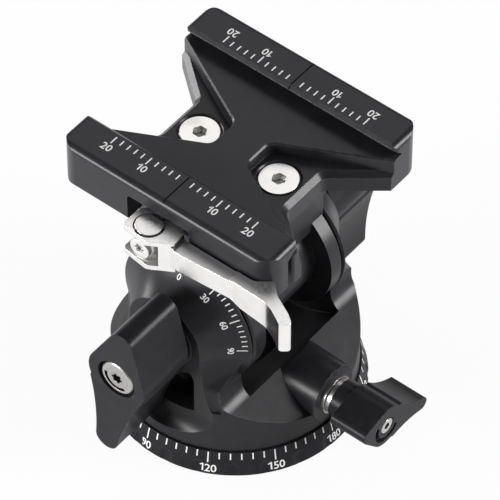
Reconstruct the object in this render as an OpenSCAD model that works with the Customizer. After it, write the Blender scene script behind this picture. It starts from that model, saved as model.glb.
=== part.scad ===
// Two-way pan tilt head with a lever quick-release clamp, in millimetres.
// The origin is the mouth of the tripod thread, in the middle of the underside.
// +Z is up, X runs along the clamp jaws, and the tilt axis runs along Y.

/* [Pan base] */
// Diameter of the scale ring at its foot
base_d = 62; // [50:0.5:80]
// Diameter of the scale ring at its top edge
ring_top_d = 58.8; // [46:0.2:76]
// Height of the scale ring
ring_h = 6.5; // [6:0.1:9]
// Number of finger scallops round the ring
scallops = 24; // [12:1:36]
// Depth of a finger scallop
scallop_depth = 0.25; // [0.1:0.05:0.5]
// Width of a finger scallop
scallop_w = 2.7; // [1.5:0.1:4]
// Minor diameter of the 3/8-16 tripod thread
thread_d = 7.94; // [7.9:0.01:8.2]
// Depth of the tripod thread
thread_depth = 9; // [7:0.5:10]
// Diameter of the pan spindle where the yoke turns on it
spindle_d = 13; // [12:0.1:15]
// Diameter of the spindle's mounting flange
spindle_flange_d = 26; // [24:0.5:30]
// Thickness of the spindle's mounting flange
spindle_flange_t = 2.5; // [2:0.1:3]
// Outer diameter of the pan brake drum
drum_d = 34.4; // [32:0.2:38]
// Wall of the pan brake drum
drum_wall = 3.6; // [3:0.1:5]
// Height of the pan brake drum above the ring
drum_h = 3; // [2.5:0.1:3.4]

/* [Yoke] */
// Diameter of the yoke's round foot
yoke_d = 57.8; // [50:0.2:76]
// Height of the tilt axis above the underside
tilt_z = 37.5; // [36:0.1:46]
// Width of the slot between the cheeks
slot_w = 32.8; // [28:0.1:36]
// Radius of the slot floor about the tilt axis
slot_floor_r = 24.7; // [23:0.1:27]
// Radius of the cheeks' round tops
arch_r = 18.5; // [17:0.1:20]
// Distance between the two outer hub faces
hub_span = 50.8; // [48:0.1:54]
// Radius of a hub's outer face
hub_r = 10.2; // [9:0.1:11.5]
// Thickness of a cheek at its rim
rim_t = 1.1; // [0.9:0.1:2]
// Slope of the end floors, in degrees
floor_slope = 35; // [30:1:38]
// Radius between a cheek's end and the sloping floor
floor_fillet = 6; // [4:0.1:7]
// Radius of the pan lock boss at its outer end
boss_r = 7.2; // [6.5:0.1:7.5]
// Height of the pan lock axis above the underside
boss_z = 14.5; // [14.2:0.1:15.5]

/* [Rotor] */
// Width of the rotor
rotor_w = 32; // [27:0.1:35]
// Width of one rotor flange
flange_w = 4; // [3:0.1:6]
// Radius of the drum between the rotor flanges
rotor_drum_r = 13.5; // [11:0.1:15]
// Diameter of the tilt shaft
shaft_d = 10; // [8:0.1:11]
// Half length of the rotor's top platform
platform_x = 14.9; // [14.6:0.1:15]
// Thickness of the rotor's top platform
platform_t = 7.6; // [7:0.1:9]
// Height of the rotor's top face above the underside
platform_z = 69; // [68:0.1:78]

/* [Tilt knobs] */
// Radius of a tilt knob's hub
knob_hub_r = 8; // [7:0.1:9]
// Reach of a tilt knob's wing from its axis
knob_wing = 26.8; // [22:0.1:27]
// Reach of a tilt knob's short end from its axis
knob_top = 16.1; // [13:0.1:17]
// Depth of a tilt knob along its axis
knob_depth = 16.4; // [14:0.1:20]
// Lean of the near tilt knob, in degrees
near_knob_lean = 8.4; // [-30:0.1:30]
// Lean of the far tilt knob, in degrees
far_knob_lean = -4.6; // [-30:0.1:30]

/* [Pan knob] */
// Radius of the pan knob's hub
pan_hub_r = 5.5; // [5:0.1:6]
// Reach of the pan knob's wing from its axis
pan_wing = 15.8; // [12:0.1:16]
// Reach of the pan knob's short end from its axis
pan_short = 9; // [7:0.1:9.2]
// Depth of the pan knob's winged part
pan_depth = 9.8; // [8:0.1:12]
// Lean of the pan knob's wing below the level, in degrees
pan_lean = 19.6; // [0:0.1:30]
// Diameter of the pan lock stud
pan_stud_d = 6; // [5:0.1:6.4]

/* [Clamp] */
// Length of the clamp and its jaws
clamp_len = 60; // [50:0.5:72]
// Clear width between the jaw lips, for a 38 mm dovetail plate
lip_gap = 34; // [32:0.1:42]
// Middle of the jaws, measured from the pan axis
jaw_mid_y = 2; // [0:0.1:3]
// Height of the jaw lips above the clamp floor
jaw_h = 4; // [3.5:0.1:5]
// Thickness of the clamp floor above the screw pocket
floor_t = 3.5; // [3:0.1:5]
// Thickness of the clamp plate under the screw pocket
plate_t = 5.5; // [5:0.1:7]
// Width of the fixed jaw behind its lip
fixed_jaw_w = 10; // [8:0.1:13]
// Width of the moving jaw behind its lip
moving_jaw_w = 10.4; // [9.5:0.1:13]
// Radius of the jaws' outer corners, seen from above
jaw_corner_r = 5; // [3:0.1:7]
// Radius of the jaws' top edges
jaw_edge_r = 1.7; // [1:0.1:2.4]
// Distance between the two clamp screws
screw_pitch = 22.6; // [21:0.1:22.8]
// Sideways place of the clamp screws
screw_y = 1.5; // [0:0.1:3]
// Head diameter of a clamp screw
screw_head_d = 9.2; // [9:0.1:9.6]
// Gap between the moving jaw and the clamp body at rest
jaw_gap = 1.8; // [1.5:0.1:3]

/* [Lever] */
// Place of the lever pin along the jaw
pin_x = -1.2; // [-4:0.1:2]
// Diameter of the lever pin's head
pin_d = 6.4; // [6:0.1:7]
// Height of the lever's fork
fork_h = 9.2; // [9:0.1:10]
// Reach of the lever from its pin
lever_len = 41.6; // [34:0.1:44]

/* [Hidden] */
$fn = 72;

// Clearances
run_gap = 0.4;
bore_gap = 0.05;
seat_gap = 0.05;
body_gap = 0.3;
cut = 1;
// Arcs run this far past the sides that they meet, so that they cross them cleanly
sharp = 0.003;

// Pan base
base_r = base_d / 2;
ring_top_r = ring_top_d / 2;
foot_chamfer = 0.4;
spindle_r = spindle_d / 2;
spindle_flange_r = spindle_flange_d / 2;
drum_r = drum_d / 2;
drum_top = ring_h + drum_h;
yoke_z0 = ring_h + run_gap;
slot_floor_z = tilt_z - slot_floor_r;
nut_r = 10;
nut_t = 1.5;
washer_t = 0.4;
nut_seat_z = slot_floor_z - nut_t - washer_t;
base_screw_circle = 9.8;
base_screw_r = 1.25;
base_screw_head_r = 2.1;

// Yoke
yoke_r = yoke_d / 2;
slot_y = slot_w / 2;
hub_y = hub_span / 2;
rim_y = slot_y + rim_t;
rim_round = 0.7;
rim_chamfer = 0.5;
cove_hollow = 0.5;
shoulder_y = hub_y - 1.2;
shoulder_z = slot_floor_z + 6.8;
scoop_r = 9;
scoop_z = slot_floor_z + 4.2;
pocket_w = 16.8;
pocket_y = slot_y + 2;
pocket_top = tilt_z - 8;
floor_edge_x = 17.4;
floor_edge_z = tilt_z - sqrt(pow(slot_floor_r, 2) - pow(floor_edge_x, 2));
end_x = 14.84;
boss_end_x = yoke_r - 0.2;
boss_root_r = boss_r + 0.7;
shaft_r = shaft_d / 2;

// Pan brake
shoe_w = 7.8;
shoe_x0 = drum_r + body_gap;
shoe_x1 = shoe_x0 + 4;
shoe_top = boss_z + 2.7;
stud_r = pan_stud_d / 2;

// Pan knob, from the boss outwards
collar_x0 = boss_end_x + seat_gap;
collar_flange_r = 4.9;
collar_r = 4.3;
collar_flange_t = 0.9;
collar_len = 2.3;
neck_x0 = collar_x0 + collar_len;
neck_r = 4.9;
pan_knob_x0 = neck_x0 + 3.5;
pan_knob_x1 = pan_knob_x0 + pan_depth;
pan_screw_head_r = 2;
pan_screw_r = 1.45;

// Tilt lock
rotor_y = rotor_w / 2;
knob_y0 = hub_y + 0.6;
knob_y1 = knob_y0 + knob_depth;
knob_collar_r = 7.4;
knob_collar_t = 0.7;
knob_heel = 2.2;
stud_end_r = 3.9;
stud_end_y = knob_y0 + 9;
insert_r = 5.5;
insert_len = 10;
disc_r = 4.5;
disc_t = 1.1;
disc_recess = 1.4;
centre_screw_r = 1.95;

// Clamp heights
plate_z0 = platform_z;
pocket_z = plate_z0 + plate_t;
floor_z = pocket_z + floor_t;
jaw_z = floor_z + jaw_h;
jaw_z0 = plate_z0 + 0.5;
half_len = clamp_len / 2;

// Clamp plan
fixed_lip_y = jaw_mid_y + lip_gap / 2;
moving_lip_y = jaw_mid_y - lip_gap / 2;
fixed_out_y = fixed_lip_y + fixed_jaw_w;
moving_out_y = moving_lip_y - moving_jaw_w;
lip_land = 0.3;
lip_chamfer = 0.8;
undercut = jaw_h - lip_land - lip_chamfer;
jaw_inner_y = moving_lip_y - undercut - 0.9;
body_near_y = jaw_inner_y + jaw_gap;
// Each V cut: how far in it reaches, half its width there, and how fast that grows outwards
upper_v = [5, 4, 0.52];
lower_v = [18.2, 6.5, 0.81];
v_corner_r = 2.5;
upper_v_chamfer = 0.4;
lower_v_chamfer = 1.3;
screw_x = screw_pitch / 2;
screw_r = 2.5;
screw_len = 11.6;
screw_head_r = screw_head_d / 2;
screw_head_t = 0.5;
screw_sunk = 0.1;
screw_cone = screw_head_r - screw_r;

// Lever
pin_r = pin_d / 2;
pin_y = moving_out_y - 3;
fork_top = jaw_z - 5.7;
fork_z0 = fork_top - fork_h;
fork_plate = 1.4;
window_z0 = fork_z0 + fork_plate;
window_z1 = fork_top - fork_plate;
tension_z = (window_z0 + window_z1) / 2;
tension_r = 2;
tension_head_r = 2.6;
notch_x0 = pin_x - 8.8;
notch_x1 = pin_x + 8.8;
notch_z = fork_top + 1.2;
cam_plate_t = 0.6;
notch_y = moving_out_y + 4.7;
cam_y = notch_y - cam_plate_t - body_gap;
guide_x = 20;
guide_z = floor_z - 4.6;
guide_r = 1.75;
guide_end_y = body_near_y + 6.5;
spring_r = 2.5;
spring_wire = 0.3;
spring_turns = 4;
spring_bore_r = 3.1;
spring_seat_y = body_near_y + 3.4;

function unit(v) = v / norm(v);
function cross2(a, b) = a[0] * b[1] - a[1] * b[0];
// Height of the sloping end floor at a distance x from the pan axis
function floor_height(x) = floor_edge_z - tan(floor_slope) * (x - floor_edge_x);
// The disc whose edge runs through a and b, and bulges by the given rise to the left of a to b
module hollow(a, b, rise) {
    r = (pow(norm(b - a) / 2, 2) + rise * rise) / (2 * rise);
    along = unit(b - a);
    translate((a + b) / 2 + [along[1], -along[0]] * (r - rise)) circle(r + sharp, $fn = 96);
}

// A polygon, listed anticlockwise, whose corners have the given radii
module rounded(points, radii) {
    places = [for (i = [0 : len(points) - 1]) if (radii[i] > 0) i];
    difference() {
        polygon([for (i = [0 : len(points) - 1])
            each radii[i] > 0 && turn(points, i) < 0
                ? [tangent(points, i, radii[i], before(points, i)),
                    tangent(points, i, radii[i], after(points, i))]
                : [points[i]]]);
        for (i = places) {
            c = corner_centre(points, i, radii[i]);
            a = tangent(points, i, radii[i], before(points, i));
            b = tangent(points, i, radii[i], after(points, i));
            if (turn(points, i) < 0)
                translate(c) circle(radii[i] + sharp);
            else
                difference() {
                    polygon(concat([for (p = [a, points[i], b]) p * 1.2 - c * 0.2], [c]));
                    translate(c) circle(radii[i] + sharp);
                }
        }
    }
}
function before(points, i) = points[(i + len(points) - 1) % len(points)];
function after(points, i) = points[(i + 1) % len(points)];
function turn(points, i) =
    cross2(points[i] - before(points, i), after(points, i) - points[i]);
function half_angle(points, i) =
    acos(unit(before(points, i) - points[i]) * unit(after(points, i) - points[i])) / 2;
// Where the arc that rounds a corner meets the side that leads to the given point
function tangent(points, i, r, towards) =
    points[i] + unit(towards - points[i]) * r / tan(half_angle(points, i));
function corner_centre(points, i, r) =
    points[i] + unit(unit(before(points, i) - points[i]) + unit(after(points, i) - points[i]))
        * r / sin(half_angle(points, i));

// Turns an outline drawn in X and Z into a solid from y0 to y1
module along_y(y0, y1) {
    translate([0, y1, 0]) rotate([90, 0, 0]) linear_extrude(y1 - y0) children();
}
// Turns an outline drawn in Y and Z into a solid from x0 to x1
module along_x(x0, x1) {
    translate([x0, 0, 0]) rotate([90, 0, 90]) linear_extrude(x1 - x0) children();
}
// A round bar along Y through the tilt axis
module tilt_bar(r, y0, y1) {
    translate([0, y1, tilt_z]) rotate([90, 0, 0]) cylinder(r = r, h = y1 - y0);
}
// A round bar along X on the pan lock axis
module pan_bar(r, x0, x1) {
    translate([x0, 0, boss_z]) rotate([0, 90, 0]) cylinder(r = r, h = x1 - x0);
}
module ring(r_out, r_in, h) {
    difference() {
        cylinder(r = r_out, h = h);
        translate([0, 0, -cut]) cylinder(r = r_in, h = h + 2 * cut);
    }
}
// A six-lobed driver socket that opens upwards at z = 0
module star_socket(r, depth) {
    translate([0, 0, -depth]) {
        cylinder(r = r * 0.72, h = depth + cut, $fn = 24);
        for (i = [0 : 5])
            rotate(i * 60) translate([r * 0.72, 0, 0])
                cylinder(r = r * 0.28, h = depth + cut, $fn = 16);
    }
}
module hex_socket(across_flats, depth) {
    translate([0, 0, -depth])
        cylinder(r = across_flats / sqrt(3), h = depth + cut, $fn = 6);
}

// Pan base

module base_plate() {
    color("dimgray") difference() {
        union() {
            rotate_extrude() polygon([[0, 0], [base_r - foot_chamfer, 0],
                [base_r, foot_chamfer], [base_r, foot_chamfer * 2],
                [ring_top_r, ring_h], [0, ring_h]]);
            translate([0, 0, ring_h - cut]) ring(drum_r, drum_r - drum_wall, drum_h + cut);
        }
        finger_scallops();
        translate([0, 0, -cut]) {
            cylinder(r = spindle_flange_r + bore_gap, h = spindle_flange_t + cut);
            cylinder(r = spindle_r + 1.5 + bore_gap, h = ring_h + 2 * cut);
        }
        base_screw_places(0) cylinder(r = base_screw_r, h = ring_h - 1, $fn = 24);
    }
}
// A ball cutter run up the cone at every scallop
module finger_scallops() {
    lean = atan((base_r - ring_top_r) / (ring_h - foot_chamfer * 2));
    r = (pow(scallop_w / 2, 2) + pow(scallop_depth, 2)) / (2 * scallop_depth);
    mid_r = (base_r + ring_top_r) / 2;
    for (i = [0 : scallops - 1])
        rotate((i + 0.5) * 360 / scallops)
            translate([mid_r, 0, ring_h / 2]) rotate([0, -lean, 0])
                translate([r - scallop_depth, 0, -r * 0.27]) {
                    sphere(r = r);
                    translate([0, 0, -ring_h]) cylinder(r = r, h = ring_h);
                }
}
module base_screw_places(z) {
    for (i = [0 : 2])
        rotate(i * 120 + 30) translate([base_screw_circle, 0, z]) children();
}

module pan_spindle() {
    color("silver") difference() {
        union() {
            cylinder(r = spindle_flange_r, h = spindle_flange_t);
            cylinder(r = spindle_r + 1.5, h = ring_h);
            cylinder(r = spindle_r, h = slot_floor_z - 0.2);
        }
        translate([0, 0, -cut]) cylinder(d = thread_d, h = thread_depth + cut);
        base_screw_places(-cut) {
            cylinder(r = base_screw_r + 0.15, h = spindle_flange_t + 2 * cut, $fn = 24);
            cylinder(r1 = base_screw_head_r + cut, r2 = base_screw_r,
                h = cut + base_screw_head_r - base_screw_r + 0.1, $fn = 24);
        }
    }
}

module base_screws() {
    color("gray") base_screw_places(0.1) difference() {
        union() {
            cylinder(r = base_screw_r - bore_gap, h = ring_h - 2, $fn = 24);
            cylinder(r1 = base_screw_head_r - 0.1, r2 = base_screw_r - bore_gap,
                h = base_screw_head_r - base_screw_r - 0.05, $fn = 24);
        }
        rotate([180, 0, 0]) hex_socket(1.5, 0.7);
    }
}

module glide_washer() {
    color("ivory") translate([0, 0, ring_h + seat_gap])
        ring(yoke_r - 3, drum_r + 5, run_gap - 2 * seat_gap);
}

module thrust_washer() {
    color("ivory") translate([0, 0, nut_seat_z + seat_gap])
        ring(nut_r - 0.3, spindle_r + 0.1, washer_t - 2 * seat_gap);
}

module spindle_nut() {
    color("gray") translate([0, 0, nut_seat_z + washer_t]) difference() {
        ring(nut_r - 0.1, spindle_r + bore_gap, nut_t - 0.2);
        for (i = [0 : 3])
            rotate(i * 90 + 45) translate([nut_r, 0, -cut])
                cylinder(r = 1.4, h = nut_t + 2 * cut, $fn = 24);
    }
}

// Yoke

module yoke() {
    color("dimgray") difference() {
        union() {
            yoke_foot();
            for (side = [-1, 1])
                mirror([0, side > 0 ? 0 : 1, 0]) cheek();
            pan_boss();
        }
        for (side = [-1, 1])
            mirror([0, side > 0 ? 0 : 1, 0]) {
                hub_scoop();
                hub_pocket();
            }
        tilt_bar(slot_floor_r, -slot_y, slot_y);
        tilt_bar(shaft_r + bore_gap, -hub_y - cut, hub_y + cut);
        spindle_seat();
        brake_pocket();
        pan_bar(stud_r + bore_gap, shoe_x1, boss_end_x + cut);
        pan_bar(boss_r + 0.3, boss_end_x, yoke_r + cut);
    }
}
// The round foot with its two sloping end floors, hollowed round each cheek
module yoke_foot() {
    difference() {
        intersection() {
            translate([0, 0, yoke_z0]) cylinder(r = yoke_r, h = tilt_z - yoke_z0);
            along_y(-yoke_r - cut, yoke_r + cut) foot_outline();
        }
        for (side = [-1, 1])
            mirror([0, side > 0 ? 0 : 1, 0]) {
                tilt_bar(arch_r, rim_y, yoke_r + cut);
                translate([-yoke_r, shoulder_y, shoulder_z]) cube([2 * yoke_r, yoke_r, tilt_z]);
            }
    }
}
module foot_outline() {
    far = yoke_r + 5;
    v = floor_height(end_x);
    rounded([[-far, yoke_z0 - cut], [far, yoke_z0 - cut], [far, floor_height(far)],
        [end_x, v], [end_x, tilt_z], [-end_x, tilt_z], [-end_x, v],
        [-far, floor_height(far)]], [0, 0, 0, floor_fillet, 0, 0, floor_fillet, 0]);
}
// One cheek: a thin round plate, its coved hub, and the pedestal below the hub
module cheek() {
    translate([0, 0, tilt_z]) rotate([-90, 0, 0]) rotate_extrude() cheek_profile();
    along_y(rim_y - 0.5, hub_y) pedestal_outline();
}
module cheek_profile() {
    rim_r = arch_r - rim_round;
    difference() {
        rounded([[0, slot_y - 0.2], [arch_r - rim_chamfer - 0.2, slot_y - 0.2],
            [arch_r, slot_y + rim_chamfer], [arch_r, rim_y], [rim_r, rim_y], [hub_r, hub_y],
            [0, hub_y]], [0, 0, 0, rim_round * 0.8, 0, 0, 0]);
        hollow([rim_r, rim_y], [hub_r, hub_y], cove_hollow);
    }
}
module pedestal_outline() {
    top = [hub_r, tilt_z - 3];
    foot = [hub_r + 3.4, shoulder_z - 0.6];
    difference() {
        polygon([[-foot[0], yoke_z0 + 1], [foot[0], yoke_z0 + 1], foot, top, [hub_r, tilt_z],
            [-hub_r, tilt_z], [-top[0], top[1]], [-foot[0], foot[1]]]);
        for (flip = [0, 1])
            mirror([flip, 0]) hollow(foot, top, 0.8);
    }
}
// The scoop below each hub, milled flush with the hub's face
module hub_scoop() {
    translate([-yoke_r, hub_y, scoop_z]) cube([2 * yoke_r, yoke_r, tilt_z]);
    translate([0, hub_y + scoop_r, scoop_z]) rotate([0, 90, 0])
        cylinder(r = scoop_r, h = 2 * yoke_r, center = true);
}
// The pocket that lightens the pedestal
module hub_pocket() {
    along_y(pocket_y, hub_y + cut) difference() {
        intersection() {
            translate([0, tilt_z]) circle(slot_floor_r - 2.2);
            rounded([[-pocket_w / 2, 0], [pocket_w / 2, 0], [pocket_w / 2, pocket_top],
                [-pocket_w / 2, pocket_top]], [0, 0, 3, 3]);
        }
        translate([0, tilt_z]) circle(hub_r + 0.7);
    }
}
// The tapered ridge on +X that carries the pan lock
module pan_boss() {
    root_x = 10;
    difference() {
        translate([root_x, 0, boss_z]) rotate([0, 90, 0])
            cylinder(r1 = boss_root_r, r2 = boss_r, h = boss_end_x - root_x);
        translate([0, 0, yoke_z0 - 10]) cube([4 * yoke_r, 4 * yoke_r, 20], center = true);
    }
}
// The bore, the nut's seat and the groove for the brake drum, all on the pan axis
module spindle_seat() {
    translate([0, 0, yoke_z0 - cut]) {
        cylinder(r = spindle_r + bore_gap, h = slot_floor_z);
        ring(drum_r + body_gap, drum_r - drum_wall - body_gap, drum_h + run_gap + cut);
    }
    translate([0, 0, nut_seat_z]) cylinder(r = nut_r + 0.2, h = slot_floor_r);
}
module brake_pocket() {
    translate([drum_r, -shoe_w / 2 - 0.1, yoke_z0 - cut])
        cube([shoe_x1 + 0.1 - drum_r, shoe_w + 0.2, shoe_top + 0.1 - yoke_z0 + cut]);
}

module brake_shoe() {
    color("goldenrod") difference() {
        translate([drum_r, -shoe_w / 2, yoke_z0 + 0.2])
            cube([shoe_x1 - drum_r, shoe_w, shoe_top - yoke_z0 - 0.2]);
        cylinder(r = shoe_x0, h = 2 * drum_top);
        translate([0, 0, drum_top + 0.4]) cylinder(r = shoe_x0 + 0.4, h = shoe_top);
    }
}

// Pan lock

module pan_collar() {
    color("silver") difference() {
        union() {
            pan_bar(collar_flange_r, collar_x0, collar_x0 + collar_flange_t);
            pan_bar(collar_r, collar_x0, neck_x0 - seat_gap);
        }
        pan_bar(stud_r + bore_gap, collar_x0 - cut, neck_x0 + cut);
    }
}

module pan_stud() {
    color("silver") difference() {
        union() {
            pan_bar(stud_r - 0.8, shoe_x1 + seat_gap, shoe_x1 + 3);
            pan_bar(stud_r, shoe_x1 + 1, pan_knob_x0 + 5);
        }
        pan_bar(pan_screw_r + bore_gap, pan_knob_x0 - 2, pan_knob_x1);
    }
}

module pan_knob() {
    color("dimgray") difference() {
        union() {
            pan_bar(neck_r, neck_x0, pan_knob_x0 + 1);
            translate([pan_knob_x0, 0, boss_z]) rotate([-pan_lean, 0, 0]) rotate([90, 0, 90])
                linear_extrude(pan_depth) rotate(90) wing_outline(pan_hub_r, 1.9, pan_short,
                    [4.7, 4.2], 1.7, pan_wing, 0.6);
        }
        pan_bar(stud_r + bore_gap, neck_x0 - cut, pan_knob_x0 + 5.2);
        pan_bar(pan_screw_r + bore_gap, pan_knob_x0, pan_knob_x1);
        pan_bar(pan_screw_head_r + 0.3, pan_knob_x1 - 1.2, pan_knob_x1 + cut);
        pan_arc_slot();
    }
}
// A wing knob's outline: a hub, a short rounded end up and a hollow-sided wing down
module wing_outline(hub, top_r, top, root, tip_r, wing, side_hollow) {
    top_c = [0, top - top_r];
    tip_c = [0, tip_r - wing];
    lift = asin((hub - top_r) / top_c[1]);
    side = [cos(lift), sin(lift)];
    circle(hub);
    translate(top_c) circle(top_r);
    translate(tip_c) circle(tip_r);
    mirrored_polygon([side * (hub - sharp), top_c + side * (top_r - sharp)]);
    difference() {
        mirrored_polygon([[tip_r, tip_c[1]], [root[0], -root[1]], [root[0] * 0.9, 0]]);
        for (flip = [0, 1])
            mirror([flip, 0]) hollow([tip_r, tip_c[1]], [root[0], -root[1]], side_hollow);
    }
}
// A polygon closed by the mirror image of the points on its right side
module mirrored_polygon(points) {
    n = len(points);
    polygon(concat(points, [for (i = [n - 1 : -1 : 0]) [-points[i][0], points[i][1]]]));
}
// The curved slot beside the screw in the pan knob's face
module pan_arc_slot() {
    translate([pan_knob_x1, 0, boss_z]) rotate([0, 90, 0]) rotate(60) translate([0, 0, -1.2])
        difference() {
            ring(4.4, 3.2, 3);
            translate([-10, 0, -cut]) cube([20, 10, 6]);
        }
}
module pan_knob_screw() {
    color("silver") translate([pan_knob_x1 - 1.2 + seat_gap, 0, boss_z]) rotate([0, 90, 0])
        difference() {
            union() {
                cylinder(r = pan_screw_head_r, h = 1.1);
                translate([0, 0, -6.5]) cylinder(r = pan_screw_r, h = 7);
            }
            translate([0, 0, 1.1]) hex_socket(1.6, 0.8);
        }
}

// Rotor

module rotor() {
    color("dimgray") difference() {
        union() {
            translate([0, 0, tilt_z]) rotate([-90, 0, 0]) rotate_extrude() rotor_profile();
            along_y(-rotor_y, rotor_y) neck_outline();
        }
        tilt_bar(shaft_r + bore_gap, -rotor_y - cut, rotor_y + cut);
        clamp_screw_places(pocket_z - screw_len - 0.4)
            cylinder(r = screw_r + bore_gap, h = screw_len, $fn = 32);
    }
}
module rotor_profile() {
    inner = rotor_y - flange_w;
    c = 0.5;
    polygon([[0, -rotor_y], [arch_r - c, -rotor_y], [arch_r, -rotor_y + c], [arch_r, -inner],
        [rotor_drum_r, -inner], [rotor_drum_r, inner], [arch_r, inner], [arch_r, rotor_y - c],
        [arch_r - c, rotor_y], [0, rotor_y]]);
}
module neck_outline() {
    neck_x = arch_r * 0.68;
    z0 = tilt_z + arch_r * 0.6;
    z1 = platform_z - platform_t - 1;
    rounded([[-neck_x, z0], [neck_x, z0], [neck_x, z1], [platform_x, z1 + 1],
        [platform_x, platform_z], [-platform_x, platform_z], [-platform_x, z1 + 1],
        [-neck_x, z1]], [0, 0, 2, 1, 0, 0, 1, 2]);
}

module tilt_shaft() {
    color("silver") difference() {
        union() {
            tilt_bar(shaft_r, -hub_y + 0.4, hub_y - 0.4);
            tilt_bar(stud_end_r, -stud_end_y, stud_end_y);
        }
        tilt_bar(centre_screw_r + bore_gap, -stud_end_y - cut, -stud_end_y + 8);
        tilt_bar(centre_screw_r + bore_gap, stud_end_y - 8, stud_end_y + cut);
    }
}

module friction_washers() {
    color("ivory") for (side = [-1, 1])
        translate([0, side * (rotor_y + slot_y) / 2, tilt_z]) rotate([90, 0, 0])
            translate([0, 0, -(slot_y - rotor_y) / 2 + seat_gap])
                ring(arch_r - 2.5, shaft_r + 0.2, slot_y - rotor_y - 2 * seat_gap);
}

module knob_washers() {
    color("black") for (side = [-1, 1])
        translate([0, side * (hub_y + knob_y0) / 2, tilt_z]) rotate([90, 0, 0])
            translate([0, 0, -(knob_y0 - hub_y) / 2 + seat_gap])
                ring(knob_collar_r + 0.8, stud_end_r + 0.2, knob_y0 - hub_y - 2 * seat_gap);
}

// Tilt knobs

// Places a knob part drawn along +Z on the near (-1) or far (+1) side, with its wing down
module on_tilt_side(side, lean) {
    translate([0, 0, tilt_z]) rotate([0, lean, 0])
        if (side < 0) rotate([90, 0, 0]) children();
        else rotate([90, 0, 180]) children();
}
module tilt_knob() {
    difference() {
        union() {
            translate([0, 0, knob_y0]) cylinder(r = knob_collar_r, h = knob_depth / 2);
            translate([0, 0, knob_y0 + knob_collar_t]) linear_extrude(knob_depth - knob_collar_t)
                wing_outline(knob_hub_r, 3.3, knob_top, [7, 5], 3.1, knob_wing, 0.63);
        }
        translate([0, 0, knob_y0 - cut])
            cylinder(r = insert_r + bore_gap, h = insert_len + cut + 0.2);
        translate([0, 0, knob_y0]) cylinder(r = centre_screw_r + 0.2, h = knob_depth);
        translate([0, 0, knob_y1 - disc_recess]) cylinder(r = disc_r + 0.75, h = disc_recess + cut);
        wing_heel();
    }
}
// The wing's tip is turned back to a cone on the yoke's side, so that it clears the foot
module wing_heel() {
    heel_r = knob_wing - knob_heel;
    translate([0, 0, knob_y0 + knob_collar_t]) rotate_extrude()
        polygon([[heel_r - cut, -cut], [knob_wing + cut, -cut], [knob_wing + cut, knob_heel + cut]]);
}
module knob_nut() {
    translate([0, 0, knob_y0 + 0.1]) difference() {
        cylinder(r = insert_r, h = insert_len - 0.1);
        translate([0, 0, -cut]) cylinder(r = stud_end_r + bore_gap, h = insert_len - 0.6 + cut);
        cylinder(r = centre_screw_r + 0.2, h = insert_len + cut);
    }
}
module knob_screw() {
    z0 = knob_y1 - disc_recess + seat_gap;
    difference() {
        union() {
            translate([0, 0, z0]) rotate_extrude() polygon([[0, 0], [disc_r, 0],
                [disc_r, disc_t - 0.3], [disc_r - 0.3, disc_t], [0, disc_t]]);
            translate([0, 0, stud_end_y - 6]) cylinder(r = centre_screw_r, h = z0 - stud_end_y + 6.5);
        }
        translate([0, 0, z0 + disc_t]) star_socket(1.5, 1.6);
    }
}
module tilt_knob_near() { color("dimgray") on_tilt_side(-1, near_knob_lean) tilt_knob(); }
module knob_nut_near() { color("silver") on_tilt_side(-1, near_knob_lean) knob_nut(); }
module knob_screw_near() { color("silver") on_tilt_side(-1, near_knob_lean) knob_screw(); }
module tilt_knob_far() { color("dimgray") on_tilt_side(1, far_knob_lean) tilt_knob(); }
module knob_nut_far() { color("silver") on_tilt_side(1, far_knob_lean) knob_nut(); }
module knob_screw_far() { color("silver") on_tilt_side(1, far_knob_lean) knob_screw(); }

// Clamp

module clamp_body() {
    color("dimgray") difference() {
        union() {
            translate([0, 0, plate_z0]) linear_extrude(floor_z - plate_z0) clamp_plan(0.8);
            fixed_jaw();
        }
        for (flip = [0, 1])
            mirror([flip, 0, 0]) {
                translate([0, 0, plate_z0 - cut]) linear_extrude(jaw_z) v_outline(lower_v);
                translate([0, 0, pocket_z]) linear_extrude(jaw_z) v_outline(upper_v);
                v_chamfer(upper_v, floor_z, upper_v_chamfer);
                intersection() {
                    v_chamfer(lower_v, pocket_z, lower_v_chamfer);
                    translate([0, 0, plate_z0]) linear_extrude(jaw_z) v_outline(upper_v);
                }
            }
        clamp_screw_places(plate_z0 - cut) {
            cylinder(r = screw_r + 0.25, h = plate_t + 2 * cut);
            translate([0, 0, cut + plate_t - screw_sunk - screw_head_t]) {
                translate([0, 0, -screw_cone]) cylinder(r1 = screw_r + 0.1, r2 = screw_head_r + 0.1,
                    h = screw_cone);
                cylinder(r = screw_head_r + 0.4, h = screw_head_t + cut);
                translate([0, 0, 0.25]) cylinder(r1 = screw_head_r + 0.4, r2 = screw_head_r + 1.4,
                    h = cut);
            }
        }
        guide_places(guide_end_y + 0.5) cylinder(r = guide_r + bore_gap, h = guide_end_y
            - body_near_y + 0.5 + cut, $fn = 32);
        guide_places(spring_seat_y) cylinder(r = spring_bore_r, h = spring_seat_y
            - body_near_y + cut, $fn = 32);
        tension_bar(tension_r + bore_gap, body_near_y - cut, body_near_y + 9);
    }
}
// The clamp seen from above, without its V cuts
module clamp_plan(near_r) {
    rounded([[-half_len, body_near_y], [half_len, body_near_y], [half_len, fixed_out_y],
        [-half_len, fixed_out_y]], [near_r, near_r, jaw_corner_r, jaw_corner_r]);
}
function v_points(v) =
    let (out = half_len + 5, spread = v[1] + v[2] * (out - v[0]))
    [[v[0], jaw_mid_y + v[1]], [v[0], jaw_mid_y - v[1]], [out, jaw_mid_y - spread],
        [out, jaw_mid_y + spread]];
module v_outline(v) {
    rounded(v_points(v), [v_corner_r, v_corner_r, 0, 0]);
}
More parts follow.
